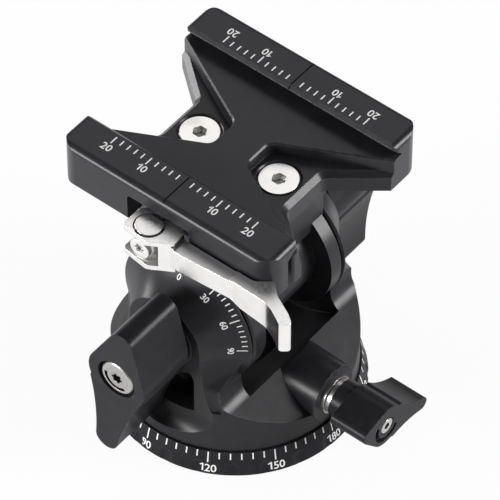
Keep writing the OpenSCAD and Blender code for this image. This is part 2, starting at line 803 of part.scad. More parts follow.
// A chamfer along the top edge of a V cut: a cone at each inner corner and a wedge along each side
module v_chamfer(v, top, size) {
    p = v_points(v);
    near = corner_centre(p, 1, v_corner_r);
    far = corner_centre(p, 0, v_corner_r);
    e = 0.2;
    low_r = v_corner_r - e;
    high_r = v_corner_r + size + e;
    translate([0, 0, top - size - e]) {
        for (c = [near, far])
            translate(c) cylinder(r1 = low_r + sharp, r2 = high_r + sharp, h = size + 2 * e);
        for (side = [[far, near], [near, near + p[2] - p[1]], [far + p[3] - p[0], far]])
            translate(side[0]) rotate(atan2(side[1][1] - side[0][1], side[1][0] - side[0][0]))
                rotate([90, 0, 90]) linear_extrude(norm(side[1] - side[0]))
                    polygon([[e, 0], [e, size + 2 * e], [-high_r, size + 2 * e], [-low_r, 0]]);
    }
}
module fixed_jaw() {
    intersection() {
        along_x(-half_len, half_len) rounded(
            [[fixed_lip_y, jaw_z - lip_chamfer - lip_land], [fixed_lip_y + undercut, floor_z],
            [fixed_lip_y + undercut, plate_z0], [fixed_out_y, plate_z0], [fixed_out_y, jaw_z],
            [fixed_lip_y + lip_chamfer, jaw_z], [fixed_lip_y, jaw_z - lip_chamfer]],
            [0, 0, 0, 0, jaw_edge_r, 0, 0]);
        translate([0, 0, plate_z0]) linear_extrude(jaw_z) clamp_plan(0);
        along_y(fixed_lip_y - cut, fixed_out_y + cut) jaw_end_outline(plate_z0);
    }
}
// A jaw seen from the front, its two top corners rounded
module jaw_end_outline(z0) {
    rounded([[-half_len, z0], [half_len, z0], [half_len, jaw_z], [-half_len, jaw_z]],
        [0, 0, jaw_edge_r, jaw_edge_r]);
}
module clamp_screw_places(z) {
    for (side = [-1, 1])
        translate([side * screw_x, screw_y, z]) children();
}
// Bars along -Y that start at y = y_far on the two guide pin axes
module guide_places(y_far) {
    for (side = [-1, 1])
        translate([side * guide_x, y_far, guide_z]) rotate([90, 0, 0]) children();
}
module tension_bar(r, y0, y1) {
    translate([pin_x, y1, tension_z]) rotate([90, 0, 0]) cylinder(r = r, h = y1 - y0, $fn = 32);
}

module clamp_screws() {
    color("silver") clamp_screw_places(pocket_z - screw_sunk) difference() {
        union() {
            translate([0, 0, -screw_head_t]) cylinder(r = screw_head_r, h = screw_head_t);
            translate([0, 0, -screw_head_t - screw_cone])
                cylinder(r1 = screw_r, r2 = screw_head_r, h = screw_cone);
            translate([0, 0, -screw_len]) cylinder(r = screw_r, h = screw_len - screw_head_t - 1);
        }
        hex_socket(3, 2.2);
    }
}

module moving_jaw() {
    color("dimgray") difference() {
        intersection() {
            along_x(-half_len, half_len) rounded(
                [[moving_out_y, jaw_z0], [jaw_inner_y, jaw_z0], [jaw_inner_y, floor_z - 0.2],
                [jaw_inner_y + 0.9 - 0.7, floor_z], [moving_lip_y, jaw_z - lip_chamfer - lip_land],
                [moving_lip_y, jaw_z - lip_chamfer], [moving_lip_y - lip_chamfer, jaw_z],
                [moving_out_y, jaw_z]], [0.8, 0.4, 0, 0, 0, 0, 0, jaw_edge_r]);
            translate([0, 0, jaw_z0 - cut]) linear_extrude(jaw_z) rounded(
                [[-half_len, moving_out_y], [half_len, moving_out_y], [half_len, moving_lip_y + cut],
                [-half_len, moving_lip_y + cut]], [jaw_corner_r, jaw_corner_r, 0, 0]);
            along_y(moving_out_y - cut, moving_lip_y + cut) jaw_end_outline(jaw_z0);
        }
        along_y(moving_out_y - cut, notch_y) rounded([[notch_x0, jaw_z0 - cut],
            [notch_x1, jaw_z0 - cut], [notch_x1, notch_z], [notch_x0, notch_z]], [0, 0, 1, 1]);
        tension_bar(tension_r + 0.4, moving_out_y, body_near_y);
        guide_places(jaw_inner_y + cut) cylinder(r = guide_r, h = cut + 4.5, $fn = 32);
    }
}

module guide_pins() {
    color("silver") guide_places(guide_end_y)
        cylinder(r = guide_r, h = guide_end_y - jaw_inner_y + 4.5, $fn = 32);
}

// Each spring is one wire on a helix round its guide pin
module jaw_springs() {
    color("silver") guide_places(spring_seat_y - spring_wire - 0.1) helix();
}
spring_len = spring_seat_y - jaw_inner_y - 2 * spring_wire - 0.2;
spring_steps = 12;
spring_path = [for (i = [0 : spring_turns * spring_steps]) let (a = 360 * i / spring_steps)
    [spring_r * cos(a), spring_r * sin(a), spring_len * i / spring_turns / spring_steps]];
module helix() {
    rings = len(spring_path) - 1;
    sides = 6;
    lead = atan(spring_len / spring_turns / (2 * PI * spring_r));
    points = [for (i = [0 : rings]) let (a = 360 * i / spring_steps) for (j = [0 : sides - 1])
        let (b = 360 * j / sides, u = spring_wire * cos(b), v = spring_wire * sin(b))
        spring_path[i] + [u * cos(a) + v * sin(lead) * sin(a),
            u * sin(a) - v * sin(lead) * cos(a), v * cos(lead)]];
    faces = [for (i = [0 : rings - 1]) for (j = [0 : sides - 1])
        let (a = i * sides + j, b = i * sides + (j + 1) % sides)
        each [[a, b + sides, b], [a, a + sides, b + sides]]];
    start = [for (j = [0 : sides - 1]) j];
    finish = [for (j = [sides - 1 : -1 : 0]) rings * sides + j];
    polyhedron(points, concat(faces, [start, finish]));
}
// The wire's least gap to itself, between points at least half a turn apart
spring_gap = min([for (i = [0 : len(spring_path) - 1])
    for (j = [i + spring_steps / 2 : 1 : len(spring_path) - 1])
        norm(spring_path[i] - spring_path[j])]) - 2 * spring_wire;
echo(least_gap_between_spring_curls = spring_gap);

module cam_plate() {
    color("gray") difference() {
        translate([notch_x0 + 0.3, notch_y - cam_plate_t, jaw_z0 + 0.2])
            cube([notch_x1 - notch_x0 - 0.6, cam_plate_t - seat_gap, notch_z - jaw_z0 - 1.4]);
        tension_bar(tension_r + 0.4, moving_out_y, body_near_y);
    }
}

// Lever, drawn in plan from its pin

module lever() {
    color("lightgray") difference() {
        union() {
            translate([pin_x, pin_y, fork_z0]) linear_extrude(fork_h) fork_plan();
            intersection() {
                translate([pin_x, pin_y, fork_z0 - 2]) linear_extrude(fork_h + 2) blade_plan();
                along_y(pin_y - 10, pin_y + 10) blade_side();
            }
        }
        translate([pin_x - 12, pin_y - 12, window_z0])
            cube([12 + 4.7, 24, window_z1 - window_z0]);
        translate([pin_x, pin_y, fork_z0 - cut])
            cylinder(r = pin_r + bore_gap, h = fork_h + 2 * cut);
    }
}
module fork_plan() {
    nose = cam_y - pin_y;
    rounded([[-5, -3.3], [2.3, -4.2], [7.9, -0.9], [7.6, 3], [1.4, nose], [-1.2, nose],
        [-4.8, 2.4]], [1.2, 1.5, 0, 0.6, 1, 1, 2]);
}
module blade_plan() {
    tip = lever_len;
    back = moving_out_y - 0.6 - pin_y;
    rounded([[5, -1.2], [9.8, -1.7], [24, -0.6], [34, -0.8], [tip - 2, -3.9], [tip, -2],
        [39, -0.1], [34, 2.4], [31, 5.2], [27.5, 2.4], [24, back], [5, back]],
        [0, 0, 0, 8, 0.9, 0.9, 3, 3, 0.3, 3, 0, 0]);
}
// The blade seen from the front
module blade_side() {
    top = fork_top - 1;
    polygon([[pin_x + 4, fork_z0 + 2.1], [pin_x + 23, fork_z0 + 2.1], [pin_x + 26, fork_z0 + 0.8],
        [pin_x + 34, fork_z0], [pin_x + lever_len + 1, fork_z0 - 0.9],
        [pin_x + lever_len + 1, top], [pin_x + 4, top]]);
}

module lever_pin() {
    color("silver") difference() {
        translate([pin_x, pin_y, fork_z0 - 0.2]) cylinder(r = pin_r, h = fork_h + 0.5);
        tension_bar(tension_r + bore_gap, pin_y - pin_r - cut, pin_y + pin_r + cut);
        tension_bar(tension_head_r + 0.1, pin_y - pin_r - cut, pin_y - pin_r + 0.9);
    }
}

module tension_screw() {
    head_y = pin_y - pin_r + 0.9 - seat_gap;
    color("silver") difference() {
        union() {
            tension_bar(tension_head_r, head_y - 1.2, head_y);
            tension_bar(tension_r, head_y - 1, body_near_y + 8.5);
        }
        translate([pin_x, head_y - 1.2, tension_z]) rotate([90, 0, 0]) star_socket(1.4, 0.9);
    }
}

base_plate();
pan_spindle();
base_screws();
glide_washer();
thrust_washer();
spindle_nut();
yoke();
brake_shoe();
pan_collar();
pan_stud();
pan_knob();
pan_knob_screw();
rotor();
tilt_shaft();
friction_washers();
knob_washers();
tilt_knob_near();
knob_nut_near();
knob_screw_near();
tilt_knob_far();
knob_nut_far();
knob_screw_far();
clamp_body();
clamp_screws();
moving_jaw();
guide_pins();
jaw_springs();
cam_plate();
lever();
lever_pin();
tension_screw();
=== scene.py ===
"""Two-way pan tilt head with a lever clamp: finishes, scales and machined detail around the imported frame."""

import logging
import math
from dataclasses import dataclass
from enum import Enum
from typing import Callable, Iterable, Optional

import bmesh
import bpy
from mathutils import Matrix, Vector
from mathutils.bvhtree import BVHTree


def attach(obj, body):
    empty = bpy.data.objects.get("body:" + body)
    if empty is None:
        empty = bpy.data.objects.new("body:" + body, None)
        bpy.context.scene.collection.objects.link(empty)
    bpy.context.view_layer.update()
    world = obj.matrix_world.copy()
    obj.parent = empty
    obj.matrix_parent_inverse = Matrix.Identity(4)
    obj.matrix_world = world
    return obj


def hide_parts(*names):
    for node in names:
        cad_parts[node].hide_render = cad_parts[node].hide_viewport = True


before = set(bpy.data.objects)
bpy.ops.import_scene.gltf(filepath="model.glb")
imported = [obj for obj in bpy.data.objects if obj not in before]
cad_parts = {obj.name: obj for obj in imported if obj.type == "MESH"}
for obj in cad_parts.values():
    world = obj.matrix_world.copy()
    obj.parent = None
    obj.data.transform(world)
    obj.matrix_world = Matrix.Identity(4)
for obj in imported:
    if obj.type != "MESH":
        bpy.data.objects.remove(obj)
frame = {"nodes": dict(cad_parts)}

log = logging.getLogger("pan_tilt_head")

MM = 0.001
STAND_PROUD = 0.012 * MM  # paint over the face that carries it
SUNK = 0.02 * MM  # paint below that face, which keeps a mark closed and seated
MERGE = 0.0005 * MM

Socket = bpy.types.NodeSocket
Object = bpy.types.Object
Mesh = bpy.types.Mesh
Material = bpy.types.Material
Shape = bmesh.types.BMesh
Tree = bpy.types.NodeTree
Placer = Callable[[float, float, float], Vector]


class Slot(Enum):
    """The record's material slots, by name. The new pieces keep the materials of the CAD nodes they are copied
    from.
    """

    BLACK = "black_anodised"
    STEEL = "stainless"


class Side(Enum):
    """A side of the head, with its direction along Y: the lever's side, or the far one."""

    NEAR = -1
    FAR = 1


# Shared steps


def linked(name: str, data: bpy.types.ID) -> Object:
    """A new object with this data, linked to the scene."""
    made = bpy.data.objects.new(name, data)
    bpy.context.scene.collection.objects.link(made)
    return made


def poured(shape: Shape, name: str) -> Mesh:
    """A new mesh with a bmesh's content. The bmesh is freed."""
    data = bpy.data.meshes.new(name)
    shape.to_mesh(data)
    shape.free()
    return data


def evaluated(holder: Object) -> Mesh:
    """A new mesh of what an object shows, with its modifiers or its text."""
    bpy.context.view_layer.update()
    return bpy.data.meshes.new_from_object(holder.evaluated_get(bpy.context.evaluated_depsgraph_get()))


def faces_of(mesh: Mesh) -> BVHTree:
    """A mesh's faces, ready for rays and nearest points."""
    return BVHTree.FromPolygons([v.co for v in mesh.vertices], [p.vertices for p in mesh.polygons])


def stand_off(holder: Object, target: Vector, direction: tuple, distance: float) -> None:
    """Puts a camera or lamp at a distance from a target, and turns it to look there."""
    way = Vector(direction).normalized()
    holder.location = target + way * distance
    holder.rotation_euler = (-way).to_track_quat("-Z", "Y").to_euler()


# Node trees


class Graph:
    """A node tree, with short calls that place nodes and join them."""

    def __init__(self, tree: Tree) -> None:
        """Wraps the tree that new nodes go into."""
        self.tree = tree
        self.column = 0

    @classmethod
    def emptied(cls, owner: Material | bpy.types.World) -> "Graph":
        """The node tree of a material or world, with nothing in it."""
        owner.use_nodes = True
        owner.node_tree.nodes.clear()
        return cls(owner.node_tree)

    def add(self, kind: str, inputs: Optional[dict] = None, **settings) -> bpy.types.Node:
        """Places one node.

        Args:
            kind: The node's type name, from its start or after "ShaderNode".
            inputs: Value or output socket for each input, by name or place.
            settings: Properties set on the node itself.

        Returns:
            The new node.
        """
        full = kind if kind.startswith("Node") else "ShaderNode" + kind
        node = self.tree.nodes.new(full)
        node.location = (self.column * 180, 0)
        self.column += 1
        for name, value in settings.items():
            setattr(node, name, value)
        for key, value in (inputs or {}).items():
            self.feed(node.inputs[key], value)
        return node

    def feed(self, socket: Socket, value) -> None:
        """Joins an output to a socket, or sets the socket's own value."""
        if isinstance(value, Socket):
            self.tree.links.new(value, socket)
        else:
            socket.default_value = value

    def math(self, operation: str, a, b=0.0, clamp: bool = False) -> Socket:
        """The output of one Math node."""
        return self.add("Math", {0: a, 1: b}, operation=operation, use_clamp=clamp).outputs[0]

    def ramp(self, value, low: float, high: float, to_low: float = 0.0, to_high: float = 1.0) -> Socket:
        """The output of a smooth Map Range node."""
        given = {"Value": value, "From Min": low, "From Max": high, "To Min": to_low, "To Max": to_high}
        return self.add("MapRange", given, interpolation_type="SMOOTHSTEP").outputs["Result"]

    def blend(self, share, first, second) -> Socket:
        """The colour output of a Mix node."""
        return self.add("Mix", {"Factor": share, 6: first, 7: second}, data_type="RGBA").outputs[2]

    def level(self, share, first, second) -> Socket:
        """The value output of a Mix node."""
        return self.add("Mix", {"Factor": share, 2: first, 3: second}, data_type="FLOAT").outputs[0]

    def noise(self, vector, scale: float, detail: float = 3.0, rough: float = 0.55) -> Socket:
        """The value output of a Noise Texture node."""
        given = {"Vector": vector, "Scale": scale, "Detail": detail, "Roughness": rough}
        return self.add("TexNoise", given).outputs["Fac"]


class Effects:
    """Node groups that several finishes share. Each is built once, and gives only masks and heights."""

    def __init__(self) -> None:
        """Builds every group."""
        self.blasted = self._blasted()
        self.handling = self._handling()
        self.edge_wear = self._edge_wear()
        self.turned = self._turned()
        self.drawn = self._drawn()
        self.recess = self._recess()

    @staticmethod
    def _start(name: str, inputs: dict, outputs: Iterable[str] = ("Height", "Tone")) -> tuple:
        """Opens a group.

        Args:
            name: The group's name.
            inputs: Each input's default value, or None for a vector.
            outputs: Name of each output, all of them floats.

        Returns:
            The group, its graph, and what comes in and goes out of it.
        """
        tree = bpy.data.node_groups.new(name, "ShaderNodeTree")
        for label, default in inputs.items():
            kind = "NodeSocketVector" if default is None else "NodeSocketFloat"
            made = tree.interface.new_socket(label, in_out="INPUT", socket_type=kind)
            if default is not None:
                made.default_value = default
        for label in outputs:
            tree.interface.new_socket(label, in_out="OUTPUT", socket_type="NodeSocketFloat")
        g = Graph(tree)
        return tree, g, g.add("NodeGroupInput").outputs, g.add("NodeGroupOutput").inputs

    def _blasted(self) -> Tree:
        """Bead blasted skin: a fine pitted height, and a mottled tone."""
        tree, g, given, wanted = self._start("blasted_skin", {"Vector": None, "Scale": 9000.0})
        size = {"Vector": given["Vector"], "Scale": given["Scale"]}
        pits = g.add("TexVoronoi", size, feature="SMOOTH_F1")
        fine = g.add("TexNoise", {**size, "Detail": 2.0})
        g.feed(wanted["Height"], g.math("ADD", pits.outputs["Distance"], fine.outputs["Fac"]))
        slow = g.noise(given["Vector"], 300.0, 2.0, 0.5)
        g.feed(wanted["Tone"], g.ramp(slow, 0.3, 0.7))
        return tree

    def _handling(self) -> Tree:
        """Faint smears where hands have been, as a mask."""
        tree, g, given, wanted = self._start("handling_marks", {"Vector": None}, ["Mask"])
        bend = g.noise(given["Vector"], 60.0, 2.0)
        cloud = g.noise(given["Vector"], 130.0, 4.0, 0.65)
        g.feed(wanted["Mask"], g.ramp(g.math("MULTIPLY", bend, cloud), 0.22, 0.42))
        return tree

    def _edge_wear(self) -> Tree:
        """How close a point is to an outer edge, broken up as wear is, as a mask for rubbed edges that also
        paint a highlight along them.
        """
        tree, g, given, wanted = self._start("edge_wear", {"Vector": None, "Width": 0.3 * MM}, ["Mask"])
        soft = g.add("Bevel", {"Radius": given["Width"]}, samples=4)
        true = g.add("NewGeometry")
        turn = g.add("VectorMath", {0: soft.outputs["Normal"], 1: true.outputs["Normal"]},
                     operation="DOT_PRODUCT")
        edge = g.ramp(turn.outputs["Value"], 0.995, 0.90)
        patch = g.ramp(g.noise(given["Vector"], 700.0, 4.0), 0.42, 0.62, 0.15, 1.0)
        g.feed(wanted["Mask"], g.math("MULTIPLY", edge, patch, clamp=True))
        return tree

    def _turned(self) -> Tree:
        """Fine rings round the vector's Z axis, as a lathe leaves them."""
        tree, g, given, wanted = self._start("turned_rings", {"Vector": None, "Scale": 5200.0})
        flat = g.add("VectorMath", {0: given["Vector"], 1: (1.0, 1.0, 0.0)}, operation="MULTIPLY")
        radius = g.add("VectorMath", {0: flat.outputs["Vector"]}, operation="LENGTH")
        axial = g.add("SeparateXYZ", {0: given["Vector"]})
        along = g.math("ADD", radius.outputs["Value"], axial.outputs["Z"])
        ring = g.add("TexNoise", {"W": g.math("MULTIPLY", along, given["Scale"]), "Scale": 1.0,
                                  "Detail": 3.0, "Roughness": 0.7}, noise_dimensions="1D")
        g.feed(wanted["Height"], ring.outputs["Fac"])
        slow = g.add("TexNoise", {"W": g.math("MULTIPLY", along, 900.0), "Scale": 1.0, "Detail": 2.0},
                     noise_dimensions="1D")
        g.feed(wanted["Tone"], g.ramp(slow.outputs["Fac"], 0.3, 0.7))
        return tree

    def _drawn(self) -> Tree:
        """Fine polishing lines along the vector's X axis."""
        tree, g, given, wanted = self._start("drawn_lines", {"Vector": None, "Scale": 1.0})
        pull = g.add("VectorMath", {0: given["Vector"], 1: (260.0, 9000.0, 9000.0)}, operation="MULTIPLY")
        size = g.add("VectorMath", {0: pull.outputs["Vector"], "Scale": given["Scale"]}, operation="SCALE")
        lines = g.noise(size.outputs["Vector"], 1.0, 3.0, 0.7)
        g.feed(wanted["Height"], lines)
        g.feed(wanted["Tone"], g.ramp(lines, 0.3, 0.7))
        return tree

    def _recess(self) -> Tree:
        """How deep a point sits in a socket, slot or corner of its own piece, as a mask for the painted shade
        there.
        """
        tree, g, given, wanted = self._start("recess_painted_shade", {"Reach": 1.2 * MM}, ["Mask"])
        open_sky = g.add("AmbientOcclusion", {"Distance": given["Reach"]}, samples=8, only_local=True)
        g.feed(wanted["Mask"], g.ramp(open_sky.outputs["AO"], 0.35, 0.90, 1.0, 0.0))
        return tree


# Finishes


@dataclass(frozen=True)
class Place:
    """Where a pattern's own Z axis stands: its centre in mm, and its turn in degrees."""

    centre: tuple = (0.0, 0.0, 0.0)
    turn: tuple = (0.0, 0.0, 0.0)


@dataclass(frozen=True)
class Finish:
    """A surface with grain, roughness and wear of its own. A subclass may bring another grain or tint.

    The base colour goes from colour to second, and darkens in recesses up to reach wide, a painted shade where
    the piece's own hollows fall in shade. The grain has the strength relief and the height depth, and shading
    rounds edges by edge. Lengths are in metres.
    """

    name: str
    colour: tuple
    second: tuple
    roughness: tuple
    metallic: float = 0.0
    ior: float = 1.5
    relief: float = 0.1
    depth: float = 0.01 * MM
    edge: float = 0.15 * MM
    # the colour of the painted shade in the piece's own recesses
    grime: tuple = (0.012, 0.012, 0.013)
    reach: float = 1.0 * MM
    place: Place = Place()
    grain: str = "blasted"
    scale: Optional[float] = None

    def coordinates(self, g: Graph) -> Socket:
        """Object coordinates, moved and turned to this finish's place."""
        vector = g.add("TexCoord").outputs["Object"]
        for name, value in (("Location", [-v * MM for v in self.place.centre]),
                            ("Rotation", [math.radians(v) for v in self.place.turn])):
            vector = g.add("Mapping", {"Vector": vector, name: value}, vector_type="POINT").outputs[0]
        return vector

    def pattern(self, g: Graph, effects: Effects, vector) -> tuple:
        """The relief's height and the tone's mask, both between 0 and 1."""
        skin = g.add("Group", {"Vector": vector}, node_tree=getattr(effects, self.grain))
        if self.scale is not None:
            g.feed(skin.inputs["Scale"], self.scale)
        return skin.outputs["Height"], skin.outputs["Tone"]

    def tint(self, g: Graph, effects: Effects, vector, tone) -> Socket:
        """The base colour."""
        return g.blend(tone, (*self.colour, 1.0), (*self.second, 1.0))

    def build(self, effects: Effects) -> Material:
        """Makes the material.

        Args:
            effects: The shared node groups.

        Returns:
            The new material.
        """
        material = bpy.data.materials.new(self.name)
        g = Graph.emptied(material)
        vector = self.coordinates(g)
        height, tone = self.pattern(g, effects, vector)
        hands = g.add("Group", {"Vector": vector}, node_tree=effects.handling)
        low, high = self.roughness
        spread = g.math("ADD", g.math("MULTIPLY", tone, 0.55),
                        g.math("MULTIPLY", hands.outputs["Mask"], 0.45))
        rough = g.ramp(spread, 0.0, 1.0, low, high)
        soft = g.add("Bevel", {"Radius": self.edge}, samples=6)
        bump = g.add("Bump", {"Strength": self.relief, "Distance": self.depth, "Height": height,
                              "Normal": soft.outputs["Normal"]})
        # painted shade: the colour darkens in the piece's own recesses, from ambient occlusion
        recess_shade = g.add("Group", {"Reach": self.reach}, node_tree=effects.recess)
        colour = g.blend(recess_shade.outputs["Mask"], self.tint(g, effects, vector, tone), (*self.grime, 1.0))
        shader = g.add("BsdfPrincipled", {
            "Base Color": colour, "Roughness": rough, "Metallic": self.metallic, "IOR": self.ior,
            "Normal": bump.outputs["Normal"]})
        g.add("OutputMaterial", {"Surface": shader.outputs["BSDF"]})
        return material


@dataclass(frozen=True)
class Anodised(Finish):
    """Dyed anodised aluminium, with the dye thinner on rubbed edges, whose paler colour is both real edge wear
    and a painted highlight along the edges.
    """

    worn: tuple = (0.09, 0.09, 0.095)
    worn_width: float = 0.22 * MM

    def tint(self, g: Graph, effects: Effects, vector, tone) -> Socket:
        """Dyed skin, paler on its edges, from wear and as a painted edge highlight."""
        skin = super().tint(g, effects, vector, tone)
        # paler edges: rubbed dye, and a painted highlight along the edges
        wear = g.add("Group", {"Vector": vector, "Width": self.worn_width}, node_tree=effects.edge_wear)
        return g.blend(wear.outputs["Mask"], skin, (*self.worn, 1.0))


@dataclass(frozen=True)
class Turned(Finish):
    """Lathe-turned metal, with fine rings round the piece's own axis."""

    grain: str = "turned"


@dataclass(frozen=True)
class Drawn(Finish):
    """Ground or drawn metal, with fine lines along one direction."""

    grain: str = "drawn"


@dataclass(frozen=True)
class PolishedLever(Finish):
    """Cast lever: polished round its sides, and fine blasted on its flat top and underside."""

    frosted: tuple = (0.32, 0.42)

    def build(self, effects: Effects) -> Material:
        """Adds the blasted flats to the polished metal."""
        material = super().build(effects)
        g = Graph(material.node_tree)
        shader = next(n for n in g.tree.nodes if n.type == "BSDF_PRINCIPLED")
        polished = shader.inputs["Roughness"].links[0].from_socket
        source = g.add("TexCoord")
        facing = g.add("SeparateXYZ", {0: source.outputs["Normal"]})
        flat = g.ramp(g.math("ABSOLUTE", facing.outputs["Z"]), 0.90, 0.985)
        cloud = g.ramp(g.noise(source.outputs["Object"], 1500.0), 0.3, 0.7, *self.frosted)
        g.feed(shader.inputs["Roughness"], g.level(flat, polished, cloud))
        return material


@dataclass(frozen=True)
class Moulded(Finish):
    """Moulded or sintered stuff with a slow mottle, such as nylon washers and the bronze shoe."""

    mottle: float = 900.0

    def pattern(self, g: Graph, effects: Effects, vector) -> tuple:
        """Cloudy relief and tone."""
        cloud = g.noise(vector, self.mottle, 5.0, 0.7)
        return cloud, g.ramp(cloud, 0.35, 0.65)


TILT_AXIS = Place((0, 0, 37.5), (90.0, 0.0, 0.0))
LOCK_AXIS = Place((0, 0, 14.5), (0.0, 90.0, 0.0))
PIN_AXIS = Place((-1.2, -28.4, 0))
GUIDE_AXIS = Place((0, 0, 0), (0, 0, 90))
ALSO_WORN_BY = {
    "clamp_body": ["moving_jaw"],
    "tilt_knob_near": ["tilt_knob_far", "pan_knob"],
    "pan_stud": ["pan_knob_screw"],
    "knob_screw_near": ["knob_screw_far"],
    "knob_nut_near": ["knob_nut_far"],
    "clamp_screws": ["tension_screw"],
    "base_screws": ["spindle_nut", "cam_plate"],
    "glide_washer": ["thrust_washer", "friction_washers"],
}


class Wardrobe:
    """Every finish of the head, by the first node that wears it."""

    def __init__(self, effects: Effects) -> None:
        """Lists the finishes, which are built from the shared node groups."""
        self.effects = effects
        deep, dye = (0.013, 0.013, 0.015), (0.0165, 0.0165, 0.019)
        steel, pale = (0.62, 0.61, 0.60), (0.72, 0.71, 0.70)
        black = dict(relief=0.05, depth=0.02 * MM)
        metal = dict(metallic=1.0, relief=0.05)
        # every finish paints shade into its own recesses; reach is how wide that painted shade is
        self.finishes: dict[str, Finish] = {
            "base_plate": Anodised("black_ring", deep, dye, (0.32, 0.38), ior=1.24, **black),
            "yoke": Anodised("black_yoke", deep, dye, (0.29, 0.34), ior=1.30, **black),
            "rotor": Anodised("black_rotor", deep, dye, (0.28, 0.33), ior=1.33, **black),
            "clamp_body": Anodised(
                "black_clamp", (0.014, 0.014, 0.017), (0.018, 0.018, 0.022), (0.30, 0.35), ior=1.36, **black),
            "tilt_knob_near": Anodised(
                "black_knobs", deep, dye, (0.29, 0.35), ior=1.21, edge=0.35 * MM, **black),
            "pan_spindle": Turned("turned_spindle", steel, pale, (0.22, 0.34), **metal),
            "tilt_shaft": Turned("turned_shaft", steel, pale, (0.20, 0.32), place=TILT_AXIS, **metal),
            "pan_stud": Turned("turned_stud", steel, pale, (0.20, 0.32), place=LOCK_AXIS, **metal),
            "pan_collar": Turned(
                "bright_collar", (0.48, 0.47, 0.46), (0.56, 0.55, 0.54), (0.26, 0.32),
                reach=0.5 * MM, place=LOCK_AXIS, **metal),
            "knob_screw_near": Turned(
                "turned_discs", (0.44, 0.43, 0.42), (0.52, 0.51, 0.50), (0.28, 0.36),
                reach=1.5 * MM, place=TILT_AXIS, **metal),
            "knob_nut_near": Turned("turned_inserts", steel, pale, (0.24, 0.36), place=TILT_AXIS, **metal),
            "lever_pin": Turned(
                "turned_pin", (0.68, 0.67, 0.66), (0.80, 0.79, 0.78), (0.22, 0.36),
                scale=4200.0, place=PIN_AXIS, **metal),
            "clamp_screws": Finish(
                "blasted_screws", (0.84, 0.83, 0.81), (0.90, 0.89, 0.87), (0.28, 0.40),
                metallic=1.0, relief=0.12, depth=0.02 * MM, reach=0.4 * MM),
            "guide_pins": Drawn("ground_pins", steel, pale, (0.18, 0.30), place=GUIDE_AXIS, **metal),
            "lever": PolishedLever(
                "cast_lever", (0.88, 0.87, 0.86), (0.93, 0.92, 0.91), (0.14, 0.24),
                metallic=1.0, relief=0.06, depth=0.015 * MM),
            "base_screws": Finish(
                "dark_screws", (0.10, 0.10, 0.11), (0.16, 0.16, 0.17), (0.30, 0.44), metallic=1.0),
            "jaw_springs": Drawn(
                "spring_wire", (0.42, 0.41, 0.39), (0.52, 0.51, 0.48), (0.22, 0.34),
                metallic=1.0, relief=0.08, edge=0.03 * MM),
            "brake_shoe": Moulded(
                "sintered_bronze", (0.38, 0.22, 0.09), (0.50, 0.31, 0.14), (0.32, 0.50),
                metallic=1.0, relief=0.2),
            "glide_washer": Moulded(
                "nylon_washers", (0.70, 0.68, 0.62), (0.76, 0.74, 0.69), (0.38, 0.50), relief=0.08),
            "knob_washers": Moulded(
                "black_nylon", (0.020, 0.020, 0.020), (0.032, 0.032, 0.032), (0.42, 0.56), relief=0.12),
        }

    def dress(self, nodes: dict) -> None:
        """Gives every CAD node, by its name, its finish."""
        bare = set(nodes)
        for first, finish in self.finishes.items():
            material = finish.build(self.effects)
            for name in [first, *ALSO_WORN_BY.get(first, [])]:
                for slot in nodes[name].material_slots:
                    slot.material = material
                bare.discard(name)
                log.info("node %s wears %s", name, finish.name)
        if bare:
            raise ValueError(f"no finish for {sorted(bare)}")


@dataclass(frozen=True)
class Paint:
    """Filled engraving: white for a scale, or black for a line."""

    name: str
    colour: tuple
    shade: tuple
    roughness: tuple = (0.42, 0.58)
    ior: float = 1.45

    def build(self) -> Material:
        """Makes the paint's material, with an uneven fill."""
        material = bpy.data.materials.new(self.name)
        g = Graph.emptied(material)
        source = g.add("TexCoord")
        patch = g.noise(source.outputs["Object"], 2600.0, 3.0, 0.6)
        bump = g.add("Bump", {"Strength": 0.2, "Distance": 0.004 * MM, "Height": patch})
        tone = g.ramp(patch, 0.3, 0.7)
        shader = g.add("BsdfPrincipled", {
            "Base Color": g.blend(tone, (*self.colour, 1.0), (*self.shade, 1.0)),
            "Roughness": g.ramp(patch, 0.3, 0.7, *self.roughness), "IOR": self.ior,
            "Normal": bump.outputs["Normal"]})
        g.add("OutputMaterial", {"Surface": shader.outputs["BSDF"]})
        return material


# Marks


class Ground:
    """The face of a CAD node, on which marks are laid."""

    def __init__(self, node: str) -> None:
        """Reads the mesh of the CAD node with this name."""
        self.tree = faces_of(frame["nodes"][node].data)

    def lay(self, start: Vector, towards: Vector, height: float) -> Vector:
        """The point at a height over the face that a line meets.

        Args:
            start: A point off the face.
            towards: The direction from it to the face.
            height: The height over the face, in metres.

        Returns:
            The point.
        """
        hit, normal, _, _ = self.tree.ray_cast(start, towards.normalized())
        if hit is None:
            raise ValueError(f"a mark at {tuple(start)} meets no face")
        return hit + normal * height


